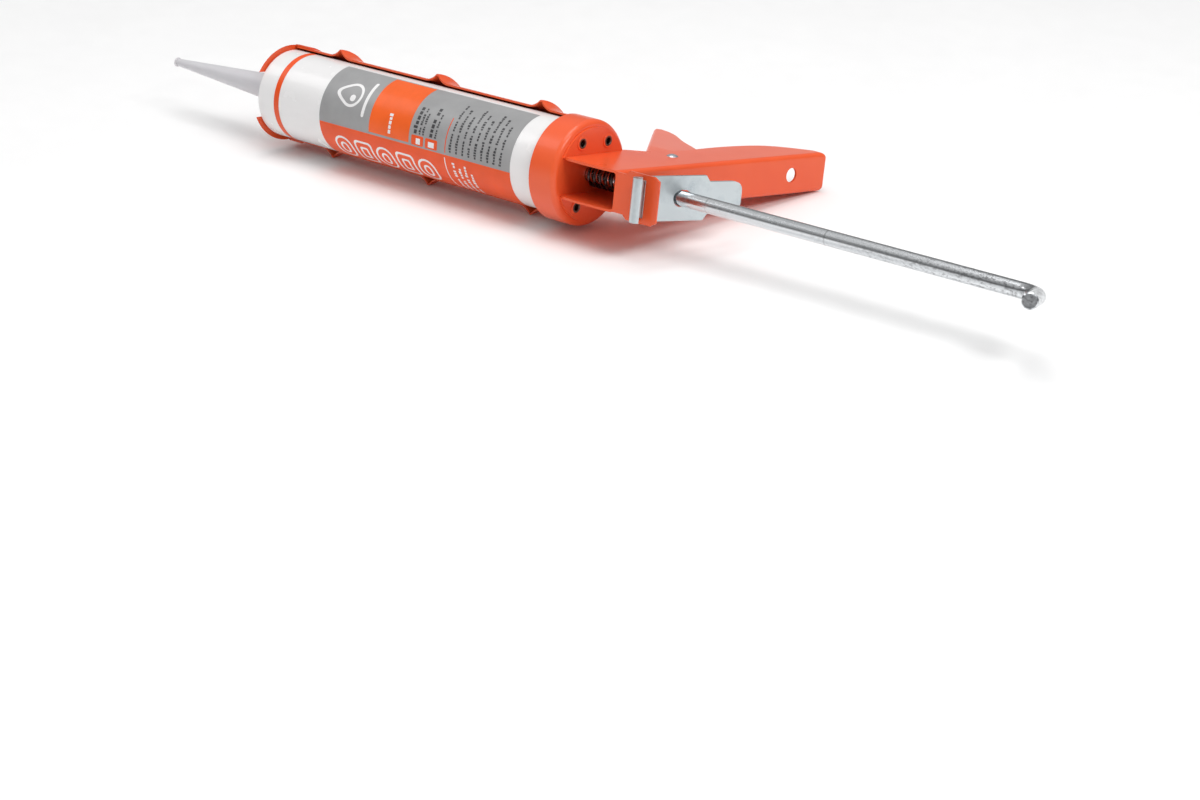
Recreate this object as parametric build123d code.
from build123d import *
from math import asin, atan2, degrees, hypot, radians, sin
import os

os.makedirs("parts", exist_ok=True)

# A half-barrel caulking gun with a smooth push rod and a standard sealant cartridge.
# Every piece is drawn in the gun's own axes, in millimetres: X runs forward along the rod,
# from the rear cap's face to the nozzle; Y points out of the open side of the barrel, so the
# handle hangs towards -Y; Z runs across the gun. placement() then lays the gun on its side.

# Sheet metal
SHEET = 1.2
SHELL_SHEET = 1.0

# Half barrel with its pressed ribs
BARREL_R = 27.15
HALF_COVER_DEG = 171.5
SHELL_START_X = 3.2
SHELL_END_X = 230.0
RIB_FIRST_X = 40.8
RIB_PITCH = 76.9
RIB_COUNT = 3
RIB_R = 31.2
RIB_HALF_WIDTH = 8.5
RIB_CREST_HALF = 0.7
RIB_CREST_SINK = 0.25

# Rear cap, a drawn cup over the barrel's end
CAP_R = 28.4
CAP_DEPTH = 17.4
CAP_EDGE_R = 3.0
EYELET_Y = 10.1
EYELET_Z = 16.9
EYELET_TUBE_R = 2.7
EYELET_BORE_R = 2.1
EYELET_HEAD_R = 3.7
EYELET_HEAD = 0.5

# Front collar, a drawn half cup with a slot for the nozzle
COLLAR_R = 28.1
COLLAR_SHEET = 0.9
COLLAR_FRONT_X = 232.6
COLLAR_DEPTH = 11.5
COLLAR_EDGE_R = 2.4
NOZZLE_SLOT_HALF = 13.0

# Handle frame, a pressed channel whose web faces rearward
FRAME_HALF = 10.8
FRAME_INNER_HALF = FRAME_HALF - SHEET
WEB_TOP = (-37.3, 22.6)
WEB_END = (-51.6, -136.8)
TAB_R = 25.0
TAIL_END_X = -64.5
TAIL_HALF = 12.6
TAIL_NECK_HALF = 10.4
TAIL_NECK_X = -44.0
TAIL_CHAMFER = 3.4
TAIL_SLOT_X = (-56.0, -48.4)
TAIL_SLOT_HALF = 9.9
HANG_HOLE_Y = -110.0
HANG_HOLE_R = 4.0
SPRING_PIP_Y = 15.5
SPRING_PIP_R = 1.3
CAP_JOIN_Y = (-24.6, 21.5)
ROOF_POINTS = [(-9.5, 24.2), (-23.0, 24.2)]
HEEL_POINTS = [(-38.7, -130.5), (-30.6, -124.2), (-24.0, -116.0), (-19.2, -103.0), (-16.6, -88.0)]
GRIP_TOP = (-15.0, -57.0)
THROAT_POINT = (-9.5, -36.0)
FRAME_FOLD_R = 2.6
END_CORNER_R = 3.4

# Trigger, a channel that nests inside the frame
PIVOT = (-22.8, -38.3)
PIVOT_R = 2.0
PIVOT_HEAD_R = 3.2
PIVOT_HEAD = 1.2
PIVOT_RUNNING_GAP = 0.06
TRIGGER_HALF = 9.3
TRIGGER_END_HALF = 7.3
TRIGGER_TAPER_Y = (-56.0, -109.0)
TRIGGER_CREST = (-5.25, -33.1)
TRIGGER_CREST_DIRECTION = (0.408, -0.913)
TRIGGER_THROAT = (3.8, -49.1)
TRIGGER_TIP = (45.6, -105.5)
TRIGGER_TIP_BEND = (44.4, -108.4)
TRIGGER_TIP_BACK = (40.8, -108.6)
TRIGGER_REAR_POINTS = [(13.0, -91.0), (-14.0, -72.3), (-31.0, -51.0)]
TRIGGER_BROW_POINTS = [(-27.5, -23.5), (-15.0, -29.3)]
TRIGGER_FOLD_R = 1.9
NOSE = (-35.1, -4.3)
NOSE_R = 2.5
NOSE_FOOT_Y = -26.0
BROW_Y = -12.0
TRIGGER_SWING_DEG = 28.0

# Push rod and its drive
ROD_R = 4.0
ROD_GUIDE_GAP = 0.25
ROD_BEND_X = -273.8
ROD_END = (-284.2, 27.0)
ROD_TURN_DEG = 6.5
ROD_BEND_R = 14.0
ROD_END_CHAMFER = 0.6
SPIGOT_R = 3.0
SPIGOT_X = (8.0, 16.8)
ROD_TRAVEL = 195.0
ROD_HOLE_GAP = 0.15
WASHER_R = 9.0
WASHER_T = 1.1
PISTON_R = 22.0
PISTON_X = (9.3, 11.1)
PISTON_SKIRT = 3.0
PISTON_SHEET = 1.5
PISTON_RUNNING_GAP = 0.06
NUT_R = 5.7
NUT_CROWN_R = 5.5
NUT_HEIGHT = 4.8
DRIVE_PLATE_T = 3.0
DRIVE_PLATE_X = -32.3
DRIVE_PLATE_HALF = 9.2
DRIVE_PLATE_Y = (-9.5, 13.0)
DRIVE_STROKE = 17.2
DRIVE_SPRING_R = 5.6
DRIVE_WIRE_R = 0.75
DRIVE_SPRING_TURNS = 7
RELEASE_SPRING_R = 5.0
RELEASE_WIRE_R = 0.65
RELEASE_SPRING_TURNS = 6
RELEASE_SPRING_LENGTH = 19.2
SPRING_END_GAP = 0.05

# Release lever, hooked through the tail tab
LEVER_T = 1.8
LEVER_HINGE = (-54.0, 22.0)
LEVER_LEAN_DEG = 18.5
LEVER_HALF = 11.6
LEVER_NECK_HALF = 9.4
LEVER_THUMB_HALF = 8.4
LEVER_SWING_DEG = 8.0
# Distances along the lever's plate, measured from its hinge.
LEVER_NECK_S = (-1.6, 1.35)
LEVER_STEP_S = 37.0
LEVER_STEP = 2.4
LEVER_END_S = 59.5
LEVER_END_REACH = 7.0
LEVER_SLOT_S = 23.7
LEVER_SLOT_LENGTH = 11.1
LEVER_SLOT_GAP = 0.35
HOOK_START_S = -1.2
HOOK_TOP_S = -4.2
HOOK_CURL_R = 2.3
HOOK_HALF = 11.4

# Cartridge, 310 ml size, and its nozzle
CARTRIDGE_R = 25.0
CARTRIDGE_WALL = 1.6
CARTRIDGE_X = (18.2, 231.2)
CARTRIDGE_SHOULDER_R = 1.4
CARTRIDGE_FRONT = 1.8
BOSS_R = 9.5
BOSS_LENGTH = 1.2
NECK_R = 6.2
NECK_END_X = 245.0
NECK_BORE_R = 4.6
NECK_THREADS = 4
THREAD_FIRST = 3.6
THREAD_PITCH = 2.4
THREAD_HEIGHT = 0.55
NOZZLE_X = (233.0, 331.5)
NOZZLE_BASE_R = 8.6
NOZZLE_TIP_R = 2.1
NOZZLE_OUTLET_R = 1.3
NOZZLE_OUTLET_LENGTH = 6.0
NOZZLE_SOCKET_R = 6.9
NOZZLE_THROAT_R = 5.2
PLUNGER_X = (22.0, 35.0)
PLUNGER_GAP = 0.08
PLUNGER_WALL = 1.3
PLUNGER_WAIST = 0.5
SEALANT_GAP = 0.05

# How the gun lies: on its side, on the ribs of the barrel and one corner of the handle
HANDLE_REACH = -WEB_END[1]
ROLL_DEG = degrees(asin(RIB_R / hypot(HANDLE_REACH, FRAME_HALF)) - atan2(FRAME_HALF, HANDLE_REACH))

# Longer than any cut that runs right through the gun.
FAR = 60.0


def rod(radius, x0, x1, y=0.0, z=0.0):
    """A solid cylinder along the gun's X axis."""
    length = x1 - x0
    cylinder = Cylinder(radius, length, align=(Align.CENTER, Align.CENTER, Align.MIN))
    return Pos(x0, y, z) * Rot(0, 90, 0) * cylinder


def across(radius, x, y, half_length):
    """A solid cylinder along Z, centred on the gun's middle plane."""
    return Pos(x, y, 0) * Cylinder(radius, 2 * half_length)


def block(x, y, z):
    """A box given by its low and high limit on each axis."""
    size = [high - low for low, high in (x, y, z)]
    centre = [(high + low) / 2 for low, high in (x, y, z)]
    return Pos(*centre) * Box(*size)


def slab(face, half):
    """A side outline given thickness, half each way from the middle plane."""
    return extrude(face, amount=half, both=True)


def turned(points):
    """A profile of (x, radius) points turned about the rod's axis."""
    return revolve(make_face(Polyline(*points, close=True)), axis=Axis.X)


def half_turn(face):
    """A profile swept round the closed side of the barrel."""
    start = 180 - HALF_COVER_DEG / 2
    return Rot(start, 0, 0) * revolve(face, axis=Axis.X, revolution_arc=HALF_COVER_DEG)


def web_x(y):
    """X of the frame web's rear face at a height along the handle."""
    share = (y - WEB_TOP[1]) / (WEB_END[1] - WEB_TOP[1])
    return WEB_TOP[0] + share * (WEB_END[0] - WEB_TOP[0])


def flank(foot, top):
    """A concave flank: an arc that starts along the barrel wall at foot and ends at top."""
    along = 1 if top[0] > foot[0] else -1
    return TangentArc(foot, top, tangent=(along, 0))


def rib_line(x, base_r):
    """One rib's flanks and rounded crest, as edges that leave and rejoin the barrel wall."""
    crest_r = base_r + RIB_R - BARREL_R
    shoulder = crest_r - RIB_CREST_SINK
    left = (x - RIB_CREST_HALF, shoulder)
    right = (x + RIB_CREST_HALF, shoulder)
    crest = ThreePointArc(left, (x, crest_r), right)
    return [flank((x - RIB_HALF_WIDTH, base_r), left), crest, flank((x + RIB_HALF_WIDTH, base_r), right)]


def wall_line(base_r, x0, x1):
    """The barrel wall's line along X, with every rib."""
    edges = []
    here = x0
    for number in range(RIB_COUNT):
        x = RIB_FIRST_X + number * RIB_PITCH
        edges.append(Line((here, base_r), (x - RIB_HALF_WIDTH, base_r)))
        edges += rib_line(x, base_r)
        here = x + RIB_HALF_WIDTH
    edges.append(Line((here, base_r), (x1, base_r)))
    return edges


def barrel_shell():
    x0 = SHELL_START_X
    x1 = SHELL_END_X
    inner_r = BARREL_R - SHELL_SHEET
    edges = wall_line(BARREL_R, x0, x1) + wall_line(inner_r, x0, x1)
    edges.append(Line((x0, inner_r), (x0, BARREL_R)))
    edges.append(Line((x1, inner_r), (x1, BARREL_R)))
    return half_turn(make_face(edges))


def cup(radius, sheet, depth, edge_r):
    """A drawn cup with its closed end at X = 0 and its mouth forward."""
    outer = rod(radius, 0, depth)
    outer = fillet(outer.edges().group_by(Axis.X)[0], edge_r)
    inner = rod(radius - sheet, sheet, depth + sheet)
    inner = fillet(inner.edges().group_by(Axis.X)[0], edge_r - sheet)
    return outer - inner


def eyelet_places():
    return [(y, z) for y in (EYELET_Y, -EYELET_Y) for z in (EYELET_Z, -EYELET_Z)]


def rear_cap():
    cap = cup(CAP_R, SHEET, CAP_DEPTH, CAP_EDGE_R)
    cap -= rod(ROD_R + ROD_GUIDE_GAP, -1, SHEET + 1)
    for y, z in eyelet_places():
        cap -= rod(EYELET_TUBE_R, -1, SHEET + 1, y, z)
    return cap


def cap_eyelets():
    """Four hollow rivets that hold the frame's tabs on the cap."""
    eyelets = []
    for y, z in eyelet_places():
        body = rod(EYELET_TUBE_R, -SHEET, SHEET, y, z)
        outside = rod(EYELET_HEAD_R, -SHEET - EYELET_HEAD, -SHEET, y, z)
        outside = fillet(outside.edges().group_by(Axis.X)[0], EYELET_HEAD * 0.6)
        inside = rod(EYELET_HEAD_R, SHEET, SHEET + EYELET_HEAD, y, z)
        eyelet = body + outside + inside
        eyelet -= rod(EYELET_BORE_R, -5, 5, y, z)
        eyelets.append(eyelet)
    return Compound(children=eyelets)


def front_collar():
    mouth = Rot(0, 180, 0) * cup(COLLAR_R, COLLAR_SHEET, COLLAR_DEPTH, COLLAR_EDGE_R)
    collar = Pos(COLLAR_FRONT_X, 0, 0) * mouth
    wall_x = COLLAR_FRONT_X - COLLAR_SHEET
    # The skirt is cut away on the open side, and the slot lets the nozzle drop in.
    reach = 2 * COLLAR_R
    cut_y = -BARREL_R * sin(radians(90 - HALF_COVER_DEG / 2))
    collar -= block((COLLAR_FRONT_X - reach, wall_x), (cut_y, reach), (-reach, reach))
    collar -= rod(NOZZLE_SLOT_HALF, wall_x - 1, COLLAR_FRONT_X + 1)
    collar -= block(
        (wall_x - 1, COLLAR_FRONT_X + 1), (0, reach), (-NOZZLE_SLOT_HALF, NOZZLE_SLOT_HALF)
    )
    return collar


def frame_outline():
    """Side view of the frame's flanges, from the cap to the end of the handle."""
    cap_low, cap_top = [(0, y) for y in CAP_JOIN_Y]
    roof = Spline(cap_top, *ROOF_POINTS, WEB_TOP, tangents=((-1, 0.9), (-1, -0.2)))
    web = Line(WEB_TOP, WEB_END)
    heel = Spline(WEB_END, *HEEL_POINTS, GRIP_TOP, tangents=((1, 0.15), (0.05, 1)))
    throat = Spline(GRIP_TOP, THROAT_POINT, cap_low, tangents=((0.05, 1), (0.6, 1)))
    cap_side = Line(cap_low, cap_top)
    return make_face([roof, web, heel, throat, cap_side])


def tail_tab():
    """The tongue bent rearward from the web, slotted for the release lever."""
    top = WEB_TOP[1]
    outline = [
        (WEB_TOP[0] + SHEET, TAIL_NECK_HALF), (TAIL_NECK_X + SHEET, TAIL_NECK_HALF),
        (TAIL_NECK_X - SHEET, TAIL_HALF), (TAIL_END_X + TAIL_CHAMFER, TAIL_HALF),
        (TAIL_END_X, TAIL_HALF - TAIL_CHAMFER * 0.6),
    ]
    mirrored = [(x, -z) for x, z in reversed(outline)]
    plate = extrude(make_face(Polyline(*outline, *mirrored, close=True)), amount=SHEET)
    tab = Pos(0, top, 0) * Rot(90, 0, 0) * plate
    slot = block(TAIL_SLOT_X, (top - 2 * SHEET, top + SHEET), (-TAIL_SLOT_HALF, TAIL_SLOT_HALF))
    return tab - slot


def web_lean():
    """The web's lean from upright, in degrees."""
    return degrees(atan2(WEB_TOP[0] - WEB_END[0], WEB_TOP[1] - WEB_END[1]))


def through_web(shape, y):
    """Stands a shape drawn along Z on the web, square to it, at a height along the handle."""
    return Pos(web_x(y), y, 0) * Rot(0, 0, -web_lean()) * Rot(0, 90, 0) * shape


def along_web(edge):
    return abs(edge.length - hypot(WEB_TOP[0] - WEB_END[0], WEB_TOP[1] - WEB_END[1])) < 0.01


def channel_hollow():
    """The space inside the channel, open to the front."""
    low, high = -200.0, FAR
    outline = Polyline(
        (web_x(high) + SHEET, high), (web_x(low) + SHEET, low), (FAR, low), (FAR, high), close=True
    )
    hollow = slab(make_face(outline), FRAME_INNER_HALF)
    long_edges = hollow.edges().filter_by(lambda e: e.length > high - low - 2 and e.center().X < 0)
    return fillet(long_edges, FRAME_FOLD_R - SHEET)


def end_corner(side):
    """What a rounded corner takes away at the handle's end, drawn flat with the corner on one side."""
    depth = 14 * SHEET
    centre = Pos(side * (FRAME_HALF - END_CORNER_R), END_CORNER_R, 0)
    outer = Pos(side * FAR / 2, -FAR / 2, 0) * Box(FAR, FAR, depth)
    return centre * (outer - Cylinder(END_CORNER_R, depth))


def handle_frame():
    channel = slab(frame_outline(), FRAME_HALF)
    channel = fillet(channel.edges().filter_by(along_web), FRAME_FOLD_R)
    channel -= channel_hollow()
    # Tabs folded outward on to the cap's face.
    tabs = rod(TAB_R, -SHEET, 0)
    gap = FRAME_HALF - SHEET / 2
    tabs -= block((-2 * SHEET, SHEET), (-FAR, FAR), (-gap, gap))
    frame = channel + tabs + tail_tab()
    for y, z in eyelet_places():
        frame -= rod(EYELET_TUBE_R, -2 * SHEET, SHEET, y, z)
    web_cut = (web_x(0) - 4 * SHEET, web_x(0) + 4 * SHEET)
    frame -= rod(ROD_R + ROD_GUIDE_GAP, *web_cut)
    frame -= rod(SPRING_PIP_R, *web_cut, SPRING_PIP_Y)
    frame -= across(PIVOT_R, *PIVOT, FRAME_HALF + 1)
    for side in (1, -1):
        frame -= through_web(end_corner(side), WEB_END[1])
    return frame - through_web(Cylinder(HANG_HOLE_R, 6 * SHEET), HANG_HOLE_Y)


def pivot_rivet():
    """A domed rivet through the frame's flanges and the trigger's."""
    rivet = across(PIVOT_R, *PIVOT, FRAME_HALF)
    for side in (1, -1):
        dome_r = (PIVOT_HEAD_R ** 2 + PIVOT_HEAD ** 2) / (2 * PIVOT_HEAD)
        dome = Pos(0, 0, PIVOT_HEAD - dome_r) * Sphere(dome_r)
        dome &= Cylinder(PIVOT_HEAD_R, PIVOT_HEAD, align=(Align.CENTER, Align.CENTER, Align.MIN))
        turn = 0 if side > 0 else 180
        rivet += Pos(*PIVOT, side * FRAME_HALF) * Rot(turn, 0, 0) * dome
    return rivet


def trigger_web(inset, start=0.0, end=0.0):
    """The finger side of the trigger, moved rearward by inset and run on at its ends."""
    along = (Vector(*TRIGGER_TIP) - Vector(*TRIGGER_THROAT)).normalized()
    first = Vector(*TRIGGER_CREST_DIRECTION).normalized()
    back = Vector(along.Y, -along.X) * inset
    back_first = Vector(first.Y, -first.X) * inset
    crest = Vector(*TRIGGER_CREST) + back_first - first * start
    throat = Vector(*TRIGGER_THROAT) + back
    tip = Vector(*TRIGGER_TIP) + back + along * end
    curve = Spline(crest, throat, tangents=(first, along))
    return curve, Line(throat, tip), crest, tip


def trigger_outline(curve, straight, crest, tip):
    """Side view of the trigger: finger side, rounded end, rear edge, and the nose on the drive plate."""
    x, y = NOSE
    back_x, front_x = x - NOSE_R, x + NOSE_R
    end = ThreePointArc(tip, TRIGGER_TIP_BEND, TRIGGER_TIP_BACK)
    rear = Spline(
        TRIGGER_TIP_BACK, *TRIGGER_REAR_POINTS, (back_x, NOSE_FOOT_Y), tangents=((-1, 0.25), (0, 1))
    )
    rise = Line((back_x, NOSE_FOOT_Y), (back_x, y))
    nose = ThreePointArc((back_x, y), (x, y + NOSE_R), (front_x, y))
    front = Line((front_x, y), (front_x, BROW_Y))
    brow = Spline((front_x, BROW_Y), *TRIGGER_BROW_POINTS, crest, tangents=((0, -1), (1, -0.9)))
    return make_face([curve, straight, end, rear, rise, nose, front, brow])


def trigger_space(inset):
    """All that lies between the trigger's flanks, which draw together towards its end."""
    taper_start, taper_end = TRIGGER_TAPER_Y
    slope = (TRIGGER_HALF - TRIGGER_END_HALF) / (taper_start - taper_end)
    half = TRIGGER_HALF - inset
    low = -3 * FAR
    low_half = half - slope * (taper_start - low)
    side = [(FAR, half), (taper_start, half), (low, low_half)]
    mirrored = [(y, -z) for y, z in reversed(side)]
    face = make_face(Plane.YZ * Polyline(*side, *mirrored, close=True))
    return extrude(face, amount=2 * FAR, both=True)


def near_finger_side(edge):
    """Whether an edge is one of the two long folds beside the finger side."""
    place = edge.center()
    along = Vector(*TRIGGER_TIP) - Vector(*TRIGGER_THROAT)
    start = Vector(*TRIGGER_THROAT) if place.Y < TRIGGER_THROAT[1] else Vector(*TRIGGER_CREST)
    line = along if place.Y < TRIGGER_THROAT[1] else Vector(*TRIGGER_THROAT) - start
    gap = (place - start) - line * ((place - start).dot(line) / line.dot(line))
    return hypot(gap.X, gap.Y) < 1.5 and abs(place.Z) > TRIGGER_END_HALF - SHEET and edge.length > SHEET


def trigger():
    curve, straight, crest, tip = trigger_web(0.0)
    body = slab(trigger_outline(curve, straight, crest, tip), TRIGGER_HALF) & trigger_space(0.0)
    body = fillet(body.edges().filter_by(near_finger_side), TRIGGER_FOLD_R)
    curve, straight, crest, tip = trigger_web(SHEET, start=20, end=30)
    rest = Polyline(tip, (tip.X - FAR, tip.Y), (-1.5 * FAR, FAR), (crest.X, FAR), crest)
    body -= slab(make_face([curve, straight, rest]), TRIGGER_HALF) & trigger_space(SHEET)
    return body - across(PIVOT_R + PIVOT_RUNNING_GAP, *PIVOT, FRAME_HALF)


def drive_plate():
    """The steel plate that grips the rod when the trigger pushes it."""
    plate = block(
        (DRIVE_PLATE_X, DRIVE_PLATE_X + DRIVE_PLATE_T), DRIVE_PLATE_Y,
        (-DRIVE_PLATE_HALF, DRIVE_PLATE_HALF),
    )
    plate = fillet(plate.edges().filter_by(Axis.X), 2.0)
    return plate - rod(ROD_R + ROD_HOLE_GAP, DRIVE_PLATE_X - 1, DRIVE_PLATE_X + DRIVE_PLATE_T + 1)


def coil(x0, x1, coil_r, wire_r, turns):
    """A round-wire compression spring about the rod, with closed end turns."""
    height = x1 - x0 - 2 * wire_r
    line = Helix(pitch=height / turns, height=height, radius=coil_r)
    section = Plane(origin=line @ 0, z_dir=line % 0) * Circle(wire_r)
    return Pos(x0 + wire_r, 0, 0) * Rot(0, 90, 0) * sweep(section, path=line, is_frenet=True)


def drive_spring():
    start = DRIVE_PLATE_X + DRIVE_PLATE_T + SPRING_END_GAP
    return coil(start, -SPRING_END_GAP, DRIVE_SPRING_R, DRIVE_WIRE_R, DRIVE_SPRING_TURNS)


def release_spring():
    front = web_x(0) - 2 * SPRING_END_GAP
    start = front - RELEASE_SPRING_LENGTH
    return coil(start, front, RELEASE_SPRING_R, RELEASE_WIRE_R, RELEASE_SPRING_TURNS)


def push_rod():
    path = FilletPolyline((SPIGOT_X[0], 0), (ROD_BEND_X, 0), ROD_END, radius=ROD_BEND_R)
    section = Plane(origin=(SPIGOT_X[0], 0, 0), z_dir=(-1, 0, 0)) * Circle(ROD_R)
    bar = sweep(section, path=path)
    bar = chamfer(bar.edges().group_by(Axis.Y)[-1], ROD_END_CHAMFER)
    spigot = rod(SPIGOT_R, *SPIGOT_X)
    spigot = chamfer(spigot.edges().group_by(Axis.X)[-1], 0.5)
    return Rot(ROD_TURN_DEG, 0, 0) * (bar + spigot)


def piston_washer():
    x0 = SPIGOT_X[0]
    return rod(WASHER_R, x0, x0 + WASHER_T) - rod(SPIGOT_R, 0, FAR)


def piston_disc():
    """A dished disc with a skirt turned rearward, free to turn on the rod's spigot."""
    x0, x1 = PISTON_X
    disc = rod(PISTON_R, x0 - PISTON_SKIRT, x1)
    disc = fillet(disc.edges().group_by(Axis.X)[-1], PISTON_SHEET)
    disc -= rod(PISTON_R - PISTON_SHEET, x0 - 2 * PISTON_SKIRT, x0)
    return disc - rod(SPIGOT_R + PISTON_RUNNING_GAP, 0, FAR)


def piston_nut():
    hexagon = extrude(RegularPolygon(NUT_R, 6), amount=NUT_HEIGHT)
    crown = Cylinder(NUT_CROWN_R, NUT_HEIGHT, align=(Align.CENTER, Align.CENTER, Align.MIN))
    crown = chamfer(crown.edges().group_by(Axis.Z)[-1], 0.5)
    nut = Pos(PISTON_X[1] + 0.2, 0, 0) * Rot(0, 90, 0) * (hexagon & crown)
    return nut - rod(SPIGOT_R, 0, FAR)


def lever_face():
    """The lever's flat outline, along its length from the hinge and across."""
    neck_start, neck_end = LEVER_NECK_S
    arc_s = LEVER_END_S - LEVER_END_REACH
    side = [
        (neck_start, LEVER_NECK_HALF), (neck_end, LEVER_NECK_HALF), (neck_end, LEVER_HALF),
        (LEVER_STEP_S, LEVER_HALF), (LEVER_STEP_S + LEVER_STEP, LEVER_THUMB_HALF),
        (arc_s, LEVER_THUMB_HALF),
    ]
    mirrored = [(s, -z) for s, z in reversed(side)]
    thumb_end = Spline(side[-1], (LEVER_END_S, 0), mirrored[0], tangents=((1, 0), (-1, 0)))
    close = Line(mirrored[-1], side[0])
    return make_face([Polyline(*side), thumb_end, Polyline(*mirrored), close])


def lever_hook():
    """An upright strip above the tail tab, curled forward at its top."""
    curl_top = (HOOK_TOP_S, 2 * HOOK_CURL_R)
    centre_line = [
        Line((HOOK_START_S, 0), (HOOK_TOP_S, 0)),
        ThreePointArc((HOOK_TOP_S, 0), (HOOK_TOP_S - HOOK_CURL_R, HOOK_CURL_R), curl_top),
    ]
    return extrude(Plane.XZ * trace(centre_line, LEVER_T), amount=HOOK_HALF, both=True)


def release_lever():
    """A leaning plate that locks the rod, hooked into the tail tab at its upper end."""
    plate = extrude(lever_face(), amount=LEVER_T / 2, both=True)
    slot = SlotOverall(LEVER_SLOT_LENGTH, 2 * (ROD_R + LEVER_SLOT_GAP))
    plate -= Pos(LEVER_SLOT_S, 0, 0) * extrude(slot, amount=2 * LEVER_T, both=True)
    plate += lever_hook()
    lean = Rot(0, 0, -90 - LEVER_LEAN_DEG) * Rot(90, 0, 0)
    return Pos(*LEVER_HINGE, 0) * lean * plate


def thread_ring(x):
    """One round thread of the neck, starting at x."""
    root = NECK_R - THREAD_HEIGHT
    crest = NECK_R + THREAD_HEIGHT
    return turned([
        (x, root), (x, NECK_R), (x + 0.5, crest), (x + 0.9, crest), (x + 1.4, NECK_R), (x + 1.4, root),
    ])


def cartridge_tube():
    """Plastic cartridge body with a rounded shoulder and a threaded neck."""
    x0, x1 = CARTRIDGE_X
    body = rod(CARTRIDGE_R, x0, x1)
    body = fillet(body.edges().group_by(Axis.X)[-1], CARTRIDGE_SHOULDER_R)
    body -= rod(CARTRIDGE_R - CARTRIDGE_WALL, x0 - 1, x1 - CARTRIDGE_FRONT)
    neck = rod(NECK_R, x1, NECK_END_X)
    neck = chamfer(neck.edges().group_by(Axis.X)[-1], 0.6)
    for number in range(NECK_THREADS):
        neck += thread_ring(x1 + THREAD_FIRST + THREAD_PITCH * number)
    body += rod(BOSS_R, x1, x1 + BOSS_LENGTH)
    body += neck
    return body - rod(NECK_BORE_R, x0, NECK_END_X + 1)


def cartridge_plunger():
    """The cup that seals the rear of the cartridge, with a lip at each end."""
    x0, x1 = PLUNGER_X
    lip_r = CARTRIDGE_R - CARTRIDGE_WALL - PLUNGER_GAP
    waist_r = lip_r - PLUNGER_WAIST
    inner_r = lip_r - PLUNGER_WALL
    nose_r = lip_r - 3.0
    return turned([
        (x0, lip_r), (x0 + 1.6, lip_r), (x0 + 2.4, waist_r), (x1 - 4.4, waist_r),
        (x1 - 3.6, lip_r), (x1 - 2.0, lip_r), (x1, nose_r), (x1, 0),
        (x1 - PLUNGER_WALL, 0), (x1 - PLUNGER_WALL, nose_r - 0.6), (x1 - 3.0, inner_r), (x0, inner_r),
    ])


def sealant():
    """The sealant column between the plunger and the neck."""
    front = CARTRIDGE_X[1] - CARTRIDGE_FRONT - SEALANT_GAP
    column = rod(CARTRIDGE_R - CARTRIDGE_WALL - SEALANT_GAP, PLUNGER_X[1] + 2 * SEALANT_GAP, front)
    return column + rod(NECK_BORE_R - 2 * SEALANT_GAP, front - 1, NECK_END_X - 1)


def nozzle():
    """A tapered plastic nozzle that screws over the neck."""
    x0, x1 = NOZZLE_X
    socket_x = NECK_END_X + 0.6
    outlet_x = x1 - NOZZLE_OUTLET_LENGTH
    lead_in = 0.4
    return turned([
        (x0, NOZZLE_SOCKET_R), (x0, NOZZLE_BASE_R - lead_in), (x0 + lead_in, NOZZLE_BASE_R),
        (x1, NOZZLE_TIP_R), (x1, NOZZLE_OUTLET_R), (outlet_x, NOZZLE_OUTLET_R),
        (socket_x, NOZZLE_THROAT_R), (socket_x, NOZZLE_SOCKET_R),
    ])


NODES = {
    "rear_cap": rear_cap,
    "cap_eyelets": cap_eyelets,
    "barrel_shell": barrel_shell,
    "front_collar": front_collar,
    "handle_frame": handle_frame,
    "pivot_rivet": pivot_rivet,
    "trigger": trigger,
    "drive_plate": drive_plate,
    "drive_spring": drive_spring,
    "push_rod": push_rod,
    "piston_washer": piston_washer,
    "piston_disc": piston_disc,
    "piston_nut": piston_nut,
    "release_lever": release_lever,
    "release_spring": release_spring,
    "cartridge_tube": cartridge_tube,
    "cartridge_plunger": cartridge_plunger,
    "sealant": sealant,
    "nozzle": nozzle,
}


def placement(shapes):
    """Lays the gun on its side, over the origin, with its lowest point at Z = 0."""
    rolled = [Rot(ROLL_DEG, 0, 0) * shape for shape in shapes]
    boxes = [shape.bounding_box() for shape in rolled]
    low = [min(tuple(box.min)[axis] for box in boxes) for axis in range(3)]
    high = [max(tuple(box.max)[axis] for box in boxes) for axis in range(3)]
    return Pos(-(low[0] + high[0]) / 2, -(low[1] + high[1]) / 2, -low[2]) * Rot(ROLL_DEG, 0, 0)


def main():
    shapes = {name: make() for name, make in NODES.items()}
    lay = placement(shapes.values())
    for name, shape in shapes.items():
        export_step(lay * shape, f"parts/{name}.step")


main()
